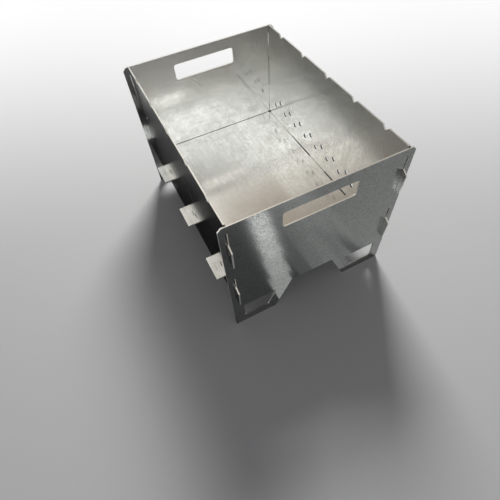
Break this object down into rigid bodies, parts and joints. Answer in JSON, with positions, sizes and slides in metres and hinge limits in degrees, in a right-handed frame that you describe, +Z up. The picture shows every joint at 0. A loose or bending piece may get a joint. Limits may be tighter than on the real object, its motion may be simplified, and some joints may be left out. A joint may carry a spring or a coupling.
{
  "type": "kebab grill",
  "caption": "Open-topped steel charcoal box for skewers, made of flat plates that hook together, with notched side walls, air holes, hand slots and windowed feet.",
  "frame": {"origin": "centre of the grill in X and Y, on the ground under its feet", "axes": "+Z up, +Y along the length from the front end panel to the rear one, +X across the width to the right side panel"},
  "size_m": [0.2624, 0.367, 0.2305],
  "materials": {
    "steel": "satin, brushed, with fine scratches and smudges"
  },
  "bodies": {
    "tub": {"left_side_panel": "steel", "right_side_panel": "steel", "floor_plate": "steel"},
    "front_end": {"front_end_panel": "steel"},
    "rear_end": {"rear_end_panel": "steel"}
  },
  "joints": [
    {"name": "front_end_drop", "type": "slide", "parent": "tub", "child": "front_end", "axis": [0, 0, -1], "range_m": [0, 0.02]},
    {"name": "rear_end_drop", "type": "slide", "parent": "tub", "child": "rear_end", "axis": [0, 0, -1], "range_m": [0, 0.02]}
  ]
}
